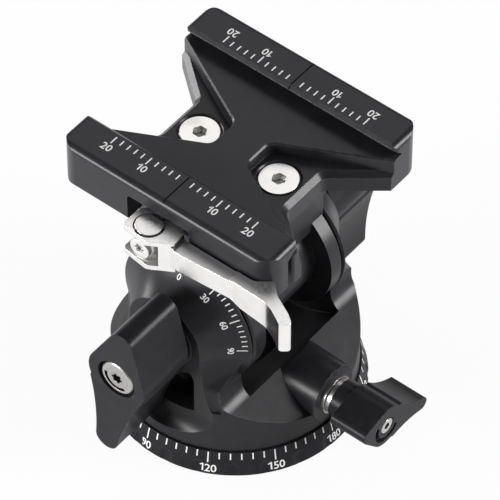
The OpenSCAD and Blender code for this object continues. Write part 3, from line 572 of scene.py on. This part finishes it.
@dataclass
class Engraver:
    """Ticks and numbers of one scale, gathered in one mesh. Lengths are in mm, or in the font's units."""

    digit_height: float = 2.1
    digit_pitch: float = 1.42
    stroke: float = 0.32
    finest: float = 0.45  # longest edge left in a mark, so that it follows a curved face
    capital: float = 0.72  # a digit's height in the font
    thicken: float = 0.012  # in the font
    flag: tuple = (0.27, 0.09, -0.07, -0.16)  # the one's slanting stroke: size, and middle from top left
    flag_turn: float = 38.0

    def __post_init__(self) -> None:
        """Opens an empty mesh, and an empty store of digits."""
        self.mesh = bmesh.new()
        self.digits: dict[str, Mesh] = {}

    def tick(self, place: Placer, length: float, width: Optional[float] = None) -> None:
        """Adds a straight tick from the placer's origin towards -v.

        Args:
            place: Turns u, v (mm) and a height (m) into a point.
            length: The tick's length in mm.
            width: Its width in mm, or the scale's own stroke.
        """
        bar = bmesh.new()
        bmesh.ops.create_cube(bar, size=1.0)
        cuts = max(int(length / self.finest) - 1, 0)
        if cuts:
            long_edges = [e for e in bar.edges if abs(e.verts[0].co.y - e.verts[1].co.y) > 0.5]
            bmesh.ops.subdivide_edges(bar, edges=long_edges, cuts=cuts, use_grid_fill=True)
        for v in bar.verts:
            v.co = Vector((v.co.x * (width or self.stroke), (v.co.y - 0.5) * length, v.co.z))
        self._settle(bar, place)

    def number(self, place: Placer, text: str) -> None:
        """Adds a number centred on the placer's origin.

        Args:
            place: Turns u, v (mm) and a height (m) into a point.
            text: The number's digits.
        """
        for i, digit in enumerate(text):
            shift = (i - (len(text) - 1) / 2) * self.digit_pitch
            glyph = bmesh.new()
            glyph.from_mesh(self._digit(digit))
            for v in glyph.verts:
                v.co.x += shift
            self._settle(glyph, place)

    def _digit(self, digit: str) -> Mesh:
        """A digit as a flat closed mesh, 1 thick, at the scale's height and centred."""
        if digit in self.digits:
            return self.digits[digit]
        curve = bpy.data.curves.new("digit", "FONT")
        curve.body, curve.extrude, curve.offset, curve.resolution_u = digit, 0.5, self.thicken, 3
        holder = linked("digit", curve)
        mesh = evaluated(holder)
        bpy.data.objects.remove(holder)
        bpy.data.curves.remove(curve)
        shape = bmesh.new()
        shape.from_mesh(mesh)
        bmesh.ops.remove_doubles(shape, verts=shape.verts, dist=1e-5)
        if digit == "1":
            self._flag(shape)
        low = Vector([min(v.co[i] for v in shape.verts) for i in range(3)])
        high = Vector([max(v.co[i] for v in shape.verts) for i in range(3)])
        size = self.digit_height / self.capital
        middle = (low + high) / 2
        for v in shape.verts:
            v.co = Vector(((v.co.x - middle.x) * size, (v.co.y - middle.y) * self.digit_height
                           / (high.y - low.y), v.co.z))
        bmesh.ops.triangulate(shape, faces=shape.faces)
        for _ in range(2):
            wide = [e for e in shape.edges if (e.verts[0].co - e.verts[1].co).xy.length > self.finest]
            bmesh.ops.subdivide_edges(shape, edges=wide, cuts=1)
            bmesh.ops.triangulate(shape, faces=shape.faces)
        shape.to_mesh(mesh)
        shape.free()
        self.digits[digit] = mesh
        return mesh

    def _flag(self, shape: Shape) -> None:
        """Adds the slanting stroke at the top of a one."""
        length, width, right, up = self.flag
        left = min(v.co.x for v in shape.verts)
        top = max(v.co.y for v in shape.verts)
        turn = Matrix.Rotation(math.radians(self.flag_turn), 4, "Z")
        move = Matrix.Translation((left + right, top + up, 0.0))
        stretch = Matrix.Diagonal((length, width, 1.0, 1.0))
        bmesh.ops.create_cube(shape, size=1.0, matrix=move @ turn @ stretch)

    def _settle(self, shape: Shape, place: Placer) -> None:
        """Lays a flat shape on its face, and adds it to the scale."""
        for v in shape.verts:
            v.co = place(v.co.x, v.co.y, STAND_PROUD if v.co.z > 0 else -SUNK)
        bmesh.ops.recalc_face_normals(shape, faces=shape.faces)
        laid = poured(shape, "laid")
        self.mesh.from_mesh(laid)
        bpy.data.meshes.remove(laid)

    def finish(self, name: str, material: Material, body: str) -> Object:
        """Turns what was gathered into a piece.

        Args:
            name: The piece's name.
            material: Its paint.
            body: The CAD body it rides on.

        Returns:
            The piece.
        """
        data = poured(self.mesh, name)
        data.materials.append(material)
        piece = linked(name, data)
        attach(piece, body)
        log.info("piece %s: %d faces on %s", name, len(data.polygons), body)
        return piece


class Scale:
    """Ticks at even steps, of which the numbered ones are long."""

    step: int
    numbered: int
    short: float
    long: float

    def mark(self, pen: Engraver, values: Iterable[int], at: Callable, tick_at: float,
             number_at: float) -> None:
        """Draws every tick and number.

        Args:
            pen: What draws them.
            values: The scale's values.
            at: Gives a placer for a value and a place across the scale.
            tick_at: Where across the scale the ticks start.
            number_at: Where across the scale the numbers' middles are.
        """
        for value in values:
            whole = value % self.numbered == 0
            pen.tick(at(value, tick_at), self.long if whole else self.short)
            if whole:
                pen.number(at(value, number_at), str(abs(value)))


@dataclass
class RingScale(Scale):
    """The pan scale on the base ring: a tick each 5 degrees, and a number each 30.

    Angles are in degrees and lengths in mm. A number's width is measured on a circle of radius face_r,
    the ring's cone leans by the cosine lean, and a ray to the cone starts at clear_r.
    """

    zero: float = 176.64
    face_r: float = 30.2
    lean: float = 0.963
    clear_r: float = 40.0
    top_z: float = 6.42
    short: float = 1.75
    long: float = 2.95
    number_z: float = 2.05
    step: int = 5
    numbered: int = 30

    def build(self, paint: Material) -> None:
        """Makes the ring's marks."""
        ground = Ground("base_plate")
        pen = Engraver()

        def at(angle: int, z: float) -> Placer:
            """A placer on the ring's cone at a value of the scale and a height."""
            def place(u: float, v: float, height: float) -> Vector:
                """Meets the cone from outside, level with the point."""
                turn = math.radians(self.zero + angle) + u / self.face_r
                out = Vector((math.cos(turn), math.sin(turn), 0.0))
                level = Vector((0, 0, (z + v * self.lean) * MM))
                return ground.lay(out * self.clear_r * MM + level, -out, height)
            return place

        self.mark(pen, range(0, 360, self.step), at, self.top_z, self.number_z)
        pen.finish("pan_scale_marks", paint, "base")


@dataclass
class CheekScale(Scale):
    """The tilt scale on the near cheek's coved rim.

    Angles are in degrees and lengths in mm. The cove goes down from the rim along slope (radial share,
    share along Y), ticks start at tick_at on it, and a ray to it starts clear off it.
    """

    centre: tuple = (0.0, -17.3, 37.5)
    rim_r: float = 17.75
    slope: tuple = (-0.68, -0.733)
    short: float = 1.28
    long: float = 2.46
    tick_at: float = 0.12
    number_at: float = 3.95
    clear: float = 5.0
    first: int = -30
    last: int = 90
    step: int = 5
    numbered: int = 30

    def build(self, paint: Material) -> None:
        """Makes the cheek's marks."""
        ground = Ground("yoke")
        pen = Engraver(digit_height=1.55, digit_pitch=1.05, stroke=0.27)
        down, over = self.slope

        def at(angle: float, depth: float) -> Placer:
            """A placer on the cove, at an angle from straight up and a depth down its slope."""
            turn = math.radians(angle)
            radial = Vector((math.sin(turn), 0, math.cos(turn)))
            along = Vector((math.cos(turn), 0, -math.sin(turn)))

            def place(u: float, v: float, height: float) -> Vector:
                """Meets the cove square to its slope."""
                s = depth - v
                mid = Vector(self.centre) + radial * (self.rim_r + s * down) + Vector((0, s * over, 0))
                off = Vector((0, down, 0)) - radial * over
                return ground.lay((mid + along * u + off * self.clear) * MM, -off, height)
            return place

        self.mark(pen, range(self.first, self.last + 1, self.step), at, self.tick_at, self.number_at)
        pen.finish("tilt_scale_marks", paint, "yoke")


@dataclass
class JawScale(Scale):
    """The millimetre scale on a jaw's top, with the dark centre line. All lengths are in mm."""

    side: Side
    node: str
    body: str
    inner_y: float
    line: tuple
    top_z: float = 82.0
    reach: int = 20
    step: int = 2
    numbered: int = 10
    short: float = 1.57
    long: float = 2.28
    number_gap: float = 1.38
    line_width: float = 0.32
    clear: float = 5.0

    def build(self, paint: Material, dark: Material) -> None:
        """Makes the jaw's marks."""
        ground = Ground(self.node)
        pen, knife = Engraver(digit_height=2.0, digit_pitch=1.4), Engraver(finest=0.3)
        way = float(self.side.value)

        def at(x: float, y: float) -> Placer:
            """A placer on the jaw's top, with its numbers' feet away from the jaw's lip."""
            def place(u: float, v: float, height: float) -> Vector:
                """Meets the top from above."""
                above = Vector((x - way * u, y - way * v, self.top_z + self.clear)) * MM
                return ground.lay(above, Vector((0, 0, -1)), height)
            return place

        values = [x for x in range(-self.reach, self.reach + 1, self.step) if x]
        self.mark(pen, values, at, self.inner_y, self.inner_y + way * (self.long + self.number_gap))
        start, end = self.line
        knife.tick(at(0, start), abs(end - start), self.line_width)
        name = self.side.name.lower()
        pen.finish(f"{name}_jaw_scale", paint, self.body)
        knife.finish(f"{name}_jaw_centre_line", dark, self.body)


# Carved pieces

ABOVE = 1.0  # how far a groove's cutter stands over the face, in mm


class Carver:
    """Copies a CAD node and cuts detail into the copy, which then stands for the node."""

    SOFT = math.cos(math.radians(35))  # new faces that turn by less than this are one soft surface
    SAME = 0.9995  # cosine up to which a face still has the CAD face's direction
    INWARDS = 0.02  # share of the way from a corner to its face's middle

    def __init__(self, node: str, name: str, body: str, slot: Slot) -> None:
        """Opens the copy.

        Args:
            node: The CAD node that the piece stands for.
            name: The piece's name.
            body: The CAD body it rides on.
            slot: The record's slot for its finish; not used.
        """
        self.node, self.name, self.body, self.slot = node, name, body, slot
        shape = bmesh.new()
        shape.from_mesh(frame["nodes"][node].data)
        bmesh.ops.remove_doubles(shape, verts=shape.verts, dist=MERGE)
        self.piece = linked(name, poured(shape, name))
        for used in frame["nodes"][node].data.materials:
            self.piece.data.materials.append(used)

    def cut(self, tool: Shape, operation: str = "DIFFERENCE") -> None:
        """Takes a closed shape out of the copy, or joins it when the operation is UNION."""
        bmesh.ops.recalc_face_normals(tool, faces=tool.faces)
        cutter = linked("cutter", poured(tool, "cutter"))
        step = self.piece.modifiers.new("cut", "BOOLEAN")
        step.operation, step.solver, step.object = operation, "EXACT", cutter
        result = evaluated(self.piece)
        self.piece.modifiers.clear()
        old = self.piece.data
        self.piece.data = result
        result.name = self.name
        bpy.data.meshes.remove(old)
        bpy.data.objects.remove(cutter)

    @classmethod
    def _kept_normal(cls, source: Mesh, tree: BVHTree, point: Vector,
                     facing: Vector) -> Optional[Vector]:
        """The CAD node's own normal at a point of a face, or None where that face is a new one."""
        spot, flat, index, _ = tree.find_nearest(point, 2 * MERGE)
        if spot is None or flat.dot(facing) < cls.SAME:
            return None
        face = source.polygons[index]
        a, b, c = (source.vertices[v].co for v in face.vertices)
        whole = (b - a).cross(c - a)
        size = whole.length_squared
        if size == 0:
            return None
        shares = [(u - spot).cross(v - spot).dot(whole) / size for u, v in ((b, c), (c, a), (a, b))]
        corners = [source.corner_normals[loop].vector for loop in face.loop_indices]
        return sum((n * share for n, share in zip(corners, shares)), Vector()).normalized()

    def _normals(self, data: Mesh) -> list:
        """A normal for each corner: the CAD node's own, or on a new face one smoothed over new faces."""
        source = frame["nodes"][self.node].data
        tree = faces_of(source)
        normals, fresh, around = [None] * len(data.loops), [], {}
        for face in data.polygons:
            facing, middle = face.normal.copy(), face.center.copy()
            for loop, vertex in zip(face.loop_indices, face.vertices):
                point = data.vertices[vertex].co.lerp(middle, self.INWARDS)
                normals[loop] = self._kept_normal(source, tree, point, facing)
                if normals[loop] is None:
                    fresh.append((loop, vertex, facing))
                    around.setdefault(vertex, []).append(facing * face.area)
        for loop, vertex, facing in fresh:
            near = [n for n in around[vertex] if n.length and n.normalized().dot(facing) > self.SOFT]
            normals[loop] = sum(near, Vector()).normalized() if near else facing
        return normals

    def finish(self) -> Object:
        """Gives the copy the CAD node's own shading, and puts it in the node's place."""
        data = self.piece.data
        data.shade_smooth()
        data.normals_split_custom_set(self._normals(data))
        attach(self.piece, self.body)
        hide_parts(self.node)
        log.info("piece %s: %d faces for %s", self.name, len(data.polygons), self.node)
        return self.piece


@dataclass
class TripodThread:
    """The 3/8-16 thread in the spindle's bore. Lengths are in mm."""

    pitch: float = 1.5875
    minor_r: float = 3.97
    major_r: float = 4.7625
    start_z: float = -1.2
    end_z: float = 8.3
    steps_a_turn: int = 36
    inside: float = 0.25  # how far the cutter reaches into the bore
    flank: float = math.radians(30)

    def build(self) -> None:
        """Cuts the thread's groove as one helix."""
        tool = bmesh.new()
        inner = self.minor_r - self.inside
        half_in = self.pitch * 3 / 8 + self.inside * math.tan(self.flank)
        half_out = self.pitch / 16
        corners = [(inner, -half_in), (self.major_r, -half_out), (self.major_r, half_out), (inner, half_in)]
        ring = [tool.verts.new((r * MM, 0, (self.start_z + z) * MM)) for r, z in corners]
        face = tool.faces.new(ring)
        turns = (self.end_z - self.start_z) / self.pitch
        steps = int(turns * self.steps_a_turn)
        bmesh.ops.spin(tool, geom=[face, *face.edges, *face.verts], cent=(0, 0, 0), axis=(0, 0, 1),
                       dvec=(0, 0, (self.end_z - self.start_z) * MM / steps),
                       angle=math.tau * turns, steps=steps, use_duplicate=False)
        carver = Carver("pan_spindle", "threaded_spindle", "base", Slot.STEEL)
        carver.cut(tool)
        carver.finish()


@dataclass(frozen=True)
class RingTool:
    """A cutter that turns round an axis: a groove, or the waste outside a rounded corner. All in mm."""

    centre: tuple
    axis: tuple
    start: tuple
    span: float
    inner: float
    outer: float
    low: float
    high: float
    segments: int = 28

    def shape(self) -> Shape:
        """The cutter's closed shape."""
        axis, start, centre = Vector(self.axis), Vector(self.start).normalized(), Vector(self.centre)
        tool = bmesh.new()
        corners = [(self.inner, self.low), (self.outer, self.low), (self.outer, self.high),
                   (self.inner, self.high)]
        ring = [tool.verts.new((centre + start * r + axis * h) * MM) for r, h in corners]
        face = tool.faces.new(ring)
        whole = self.span >= 360
        bmesh.ops.spin(tool, geom=[face, *face.edges, *face.verts], cent=centre * MM, axis=axis,
                       dvec=(0, 0, 0), angle=math.radians(self.span), steps=self.segments,
                       use_merge=whole, use_duplicate=False)
        if whole:
            seam = [f for f in tool.faces
                    if all(abs((v.co / MM - centre).cross(start).dot(axis)) < 1e-3 for v in f.verts)]
            bmesh.ops.delete(tool, geom=seam, context="FACES_ONLY")
        return tool


@dataclass
class KnobDisc:
    """A tilt knob's steel disc, with a C-shaped groove round its socket. Lengths are in mm."""

    side: Side
    axis_z: float = 37.5
    face_y: float = 42.15
    radius: float = 3.2
    width: float = 0.85
    depth: float = 0.7
    start: tuple = (3.11, 0.44)
    span: float = 139.0

    def build(self) -> None:
        """Cuts the groove."""
        way, name = float(self.side.value), self.side.name.lower()
        across, up = self.start
        groove = RingTool((0, way * self.face_y, self.axis_z), (0, way, 0), (across * way, 0, up), self.span,
                          self.radius - self.width / 2, self.radius + self.width / 2, -self.depth, ABOVE)
        carver = Carver(f"knob_screw_{name}", f"knob_disc_{name}", f"{name}_knob", Slot.STEEL)
        carver.cut(groove.shape())
        carver.finish()


@dataclass
class Jaws:
    """Both jaws, with the lips' ends rounded. Lengths are in mm."""

    near_lip_y: float = -15.0
    far_lip_y: float = 19.0
    half_length: float = 30.0
    round_r: float = 1.7
    low_z: float = 78.05
    high_z: float = 82.5

    def build(self) -> None:
        """Rounds the four lip ends."""
        for node, name, body, lip_y, back in (
            ("moving_jaw", "near_jaw", "jaw", self.near_lip_y, -1),
            ("clamp_body", "clamp_plate", "tilt_head", self.far_lip_y, 1),
        ):
            carver = Carver(node, name, body, Slot.BLACK)
            for end in (-1, 1):
                centre = (end * (self.half_length - self.round_r), lip_y + back * self.round_r, 0)
                waste = RingTool(centre, (0, 0, 1), (end, 0, 0), -90.0 * end * back, self.round_r,
                                 3 * self.round_r, self.low_z, self.high_z, 12)
                carver.cut(waste.shape())
            carver.finish()


@dataclass
class CastLever:
    """The clamp lever, with the groove round its pin and the stem set below its blade. Lengths are in mm."""

    pin: tuple = (-1.2, -28.4, 76.3)
    groove: tuple = (3.0, 3.62)
    groove_depth: float = 0.35
    stem: tuple = (6.9, 21.6)
    stem_y: float = -28.0
    stem_z: float = 74.95
    waste: tuple = (16.0, 4.0)  # width and height of the waste over the stem

    def build(self) -> None:
        """Cuts both."""
        carver = Carver("lever", "cast_clamp_lever", "clamp_lever", Slot.STEEL)
        groove = RingTool(self.pin, (0, 0, 1), (1, 0, 0), 360.0, *self.groove, -self.groove_depth, ABOVE, 48)
        carver.cut(groove.shape())
        step = bmesh.new()
        start, end = self.stem
        width, height = self.waste
        bmesh.ops.create_cube(step, size=1.0)
        for v in step.verts:
            v.co = Vector(((start + end) / 2 + v.co.x * (end - start), self.stem_y + v.co.y * width,
                           self.stem_z + (v.co.z + 0.5) * height)) * MM
        carver.cut(step)
        carver.finish()


@dataclass
class CheekWeb:
    """The yoke, with the swept web below each cheek's cove, on both sides of its pedestal.

    Lengths are in mm, on the +X, +Y side. The web leaves the rim at (x, y) and meets the pedestal's wall
    and the rib under the hub. It is hollowed, and set back a little from the faces round it.
    """

    top_z: float = 35.8
    wall_z: float = 26.45
    low_z: float = 18.8
    wall_x: float = 14.80
    rim: tuple = (17.67, 17.5)
    wall_y: float = 24.2
    hub_y: float = 25.35
    hub_x: float = 10.2
    foot_x: float = 13.6
    rib_top_z: float = 34.5
    rib_low_z: float = 19.0
    rib_hollow: float = 0.8
    cove_hollow: float = 0.5
    top_sink: float = 0.12
    rib_cover: float = 0.3
    diagonal: float = 0.7
    back_y: float = 17.0

    def _face(self, across: float, down: float) -> Vector:
        """A point of the web's outer face, from the cheek's rim across to the rib, and from its top down."""
        z = self.top_z + (self.low_z - self.top_z) * down
        swept = min((self.top_z - z) / (self.top_z - self.wall_z), 1.0)
        near_x = self.wall_x + (self.rim[0] - self.wall_x) * (1 - swept) ** 1.5
        near_y = self.rim[1] + (self.wall_y - self.rim[1]) * swept ** 1.6
        rib = min(max((self.rib_top_z - z) / (self.rib_top_z - self.rib_low_z), 0.0), 1.0)
        rib_x = (self.hub_x + (self.foot_x - self.hub_x) * rib - self.rib_hollow * 4 * rib * (1 - rib)
                 - self.rib_cover)
        sag = self.cove_hollow * (1 - swept) * 4 * across * (1 - across) + self.top_sink * (1 - swept) ** 8
        return Vector((near_x + (rib_x - near_x) * across - self.diagonal * sag,
                       near_y + (self.hub_y - near_y) * across - self.diagonal * sag, z))

    def _web(self, end: int, side: int) -> Shape:
        """One web, closed at its back inside the cheek."""
        web = bmesh.new()
        bmesh.ops.create_grid(web, x_segments=12, y_segments=22, size=0.5)
        for v in web.verts:
            v.co = self._face(v.co.x + 0.5, v.co.y + 0.5)
        grown = bmesh.ops.extrude_face_region(web, geom=web.faces[:])
        for item in grown["geom"]:
            if isinstance(item, bmesh.types.BMVert):
                item.co.y = self.back_y
        for v in web.verts:
            v.co = Vector((v.co.x * end, v.co.y * side, v.co.z)) * MM
        return web

    def build(self) -> None:
        """Joins the four webs to the yoke."""
        carver = Carver("yoke", "machined_yoke", "yoke", Slot.BLACK)
        for end in (-1, 1):
            for side in (-1, 1):
                carver.cut(self._web(end, side), "UNION")
        carver.finish()


# Studio


@dataclass
class SoftBox:
    """A soft lamp that looks at the head's middle. Lengths are in metres, the power in watts."""

    name: str
    direction: tuple
    distance: float
    size: tuple
    power: float
    target: tuple = (0.0, 0.0, 0.045)

    def build(self) -> None:
        """Makes the lamp."""
        lamp = bpy.data.lights.new(self.name, "AREA")
        lamp.shape, lamp.size, lamp.size_y, lamp.energy = "RECTANGLE", *self.size, self.power
        stand_off(linked(self.name, lamp), Vector(self.target), self.direction, self.distance)


@dataclass
class Studio:
    """Camera, floor, sky and lamps. The camera's target is in mm, and the rest in metres."""

    target: tuple = (1.74, 3.17, 42.0)
    direction: tuple = (0.412044, -0.512436, 0.753392)
    distance: float = 1.123
    lens: float = 355.75
    sky: float = 0.20
    floor_z: float = -0.0001
    floor_tone: float = 0.80
    floor_vary: float = 0.01
    glow: float = 0.93  # how much of the floor's white is its own, to the camera and in reflections
    shade_reach: tuple = (0.062, 0.09)  # the head's own shade on the floor, as reflections show it

    def camera(self) -> None:
        """Makes the camera at the photograph's viewing angle."""
        data = bpy.data.cameras.new("camera")
        data.lens, data.sensor_width = self.lens, 36.0
        data.clip_start, data.clip_end = 0.1, 20.0
        holder = linked("camera", data)
        stand_off(holder, Vector(self.target) * MM, self.direction, self.distance)
        bpy.context.scene.camera = holder

    def floor(self) -> None:
        """Makes the pale floor, white to the camera and in reflections, with the head's shadow on it."""
        shape = bmesh.new()
        bmesh.ops.create_grid(shape, x_segments=8, y_segments=8, size=3.0)
        data = poured(shape, "floor")
        data.transform(Matrix.Translation((0, 0, self.floor_z)))
        plane = linked("floor", data)
        material = bpy.data.materials.new("pale_floor")
        g = Graph.emptied(material)
        where = g.add("TexCoord").outputs["Object"]
        card = g.noise(where, 40.0)
        tone = g.ramp(card, 0.3, 0.7, self.floor_tone - self.floor_vary, self.floor_tone + self.floor_vary)
        paper = g.add("BsdfDiffuse", {"Color": g.blend(tone, (0, 0, 0, 1), (1, 1, 1, 1))})
        glow = g.add("Emission", {"Color": (1, 1, 1, 1), "Strength": 1.0})
        path = g.add("LightPath")
        place = g.add("VectorMath", {0: where}, operation="LENGTH")
        away = g.ramp(place.outputs["Value"], *self.shade_reach)
        shown = g.math("ADD", path.outputs["Is Glossy Ray"], path.outputs["Is Transmission Ray"], clamp=True)
        seen = g.math("ADD", path.outputs["Is Camera Ray"], g.math("MULTIPLY", shown, away), clamp=True)
        share = g.math("MULTIPLY", seen, self.glow)
        lit = g.add("MixShader", {0: share, 1: paper.outputs[0], 2: glow.outputs[0]})
        behind = g.add("NewGeometry")
        clear = g.add("BsdfTransparent")
        both = g.add("MixShader", {0: behind.outputs["Backfacing"], 1: lit.outputs[0], 2: clear.outputs[0]})
        g.add("OutputMaterial", {"Surface": both.outputs[0]})
        data.materials.append(material)

    def world(self) -> None:
        """Makes the sky: white behind the head, and softer where it lights it."""
        world = bpy.data.worlds.new("studio")
        g = Graph.emptied(world)
        strength = g.level(g.add("LightPath").outputs["Is Camera Ray"], self.sky, 1.0)
        back = g.add("Background", {"Color": (1, 1, 1, 1), "Strength": strength})
        g.add("OutputWorld", {"Surface": back.outputs[0]})
        bpy.context.scene.world = world

    def build(self) -> None:
        """Makes the whole studio."""
        self.camera()
        self.floor()
        self.world()
        for lamp in (
            SoftBox("front_box", (-0.41, -0.88, 0.22), 1.1, (0.70, 0.30), 16.0),
            SoftBox("left_box", (-0.97, -0.16, 0.16), 1.0, (0.40, 0.30), 5.5),
            SoftBox("back_box", (-0.41, 0.51, 0.75), 1.2, (0.70, 0.70), 1.6),
            SoftBox("right_box", (0.80, 0.45, 0.30), 1.2, (0.45, 0.60), 18.0),
        ):
            lamp.build()
        bpy.context.scene.view_settings.view_transform = "Standard"


def main() -> None:
    """Builds the studio, dresses the frame and adds every new piece."""
    logging.basicConfig(level=logging.INFO, format="%(message)s")
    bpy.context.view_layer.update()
    Studio().build()
    effects = Effects()
    wardrobe = Wardrobe(effects)
    wardrobe.dress(frame["nodes"])
    white = Paint("white_fill", (0.80, 0.80, 0.79), (0.70, 0.70, 0.70)).build()
    dark = Paint("dark_line", (0.002, 0.002, 0.002), (0.004, 0.004, 0.004), (0.6, 0.8), 1.08).build()
    RingScale().build(white)
    CheekScale().build(white)
    JawScale(Side.NEAR, "moving_jaw", "jaw", -16.64, (-15.05, -25.0)).build(white, dark)
    JawScale(Side.FAR, "clamp_body", "tilt_head", 20.49, (19.05, 28.4)).build(white, dark)
    for part in (TripodThread(), KnobDisc(Side.NEAR), KnobDisc(Side.FAR), Jaws(), CastLever(), CheekWeb()):
        part.build()


if __name__ == "__main__":
    main()
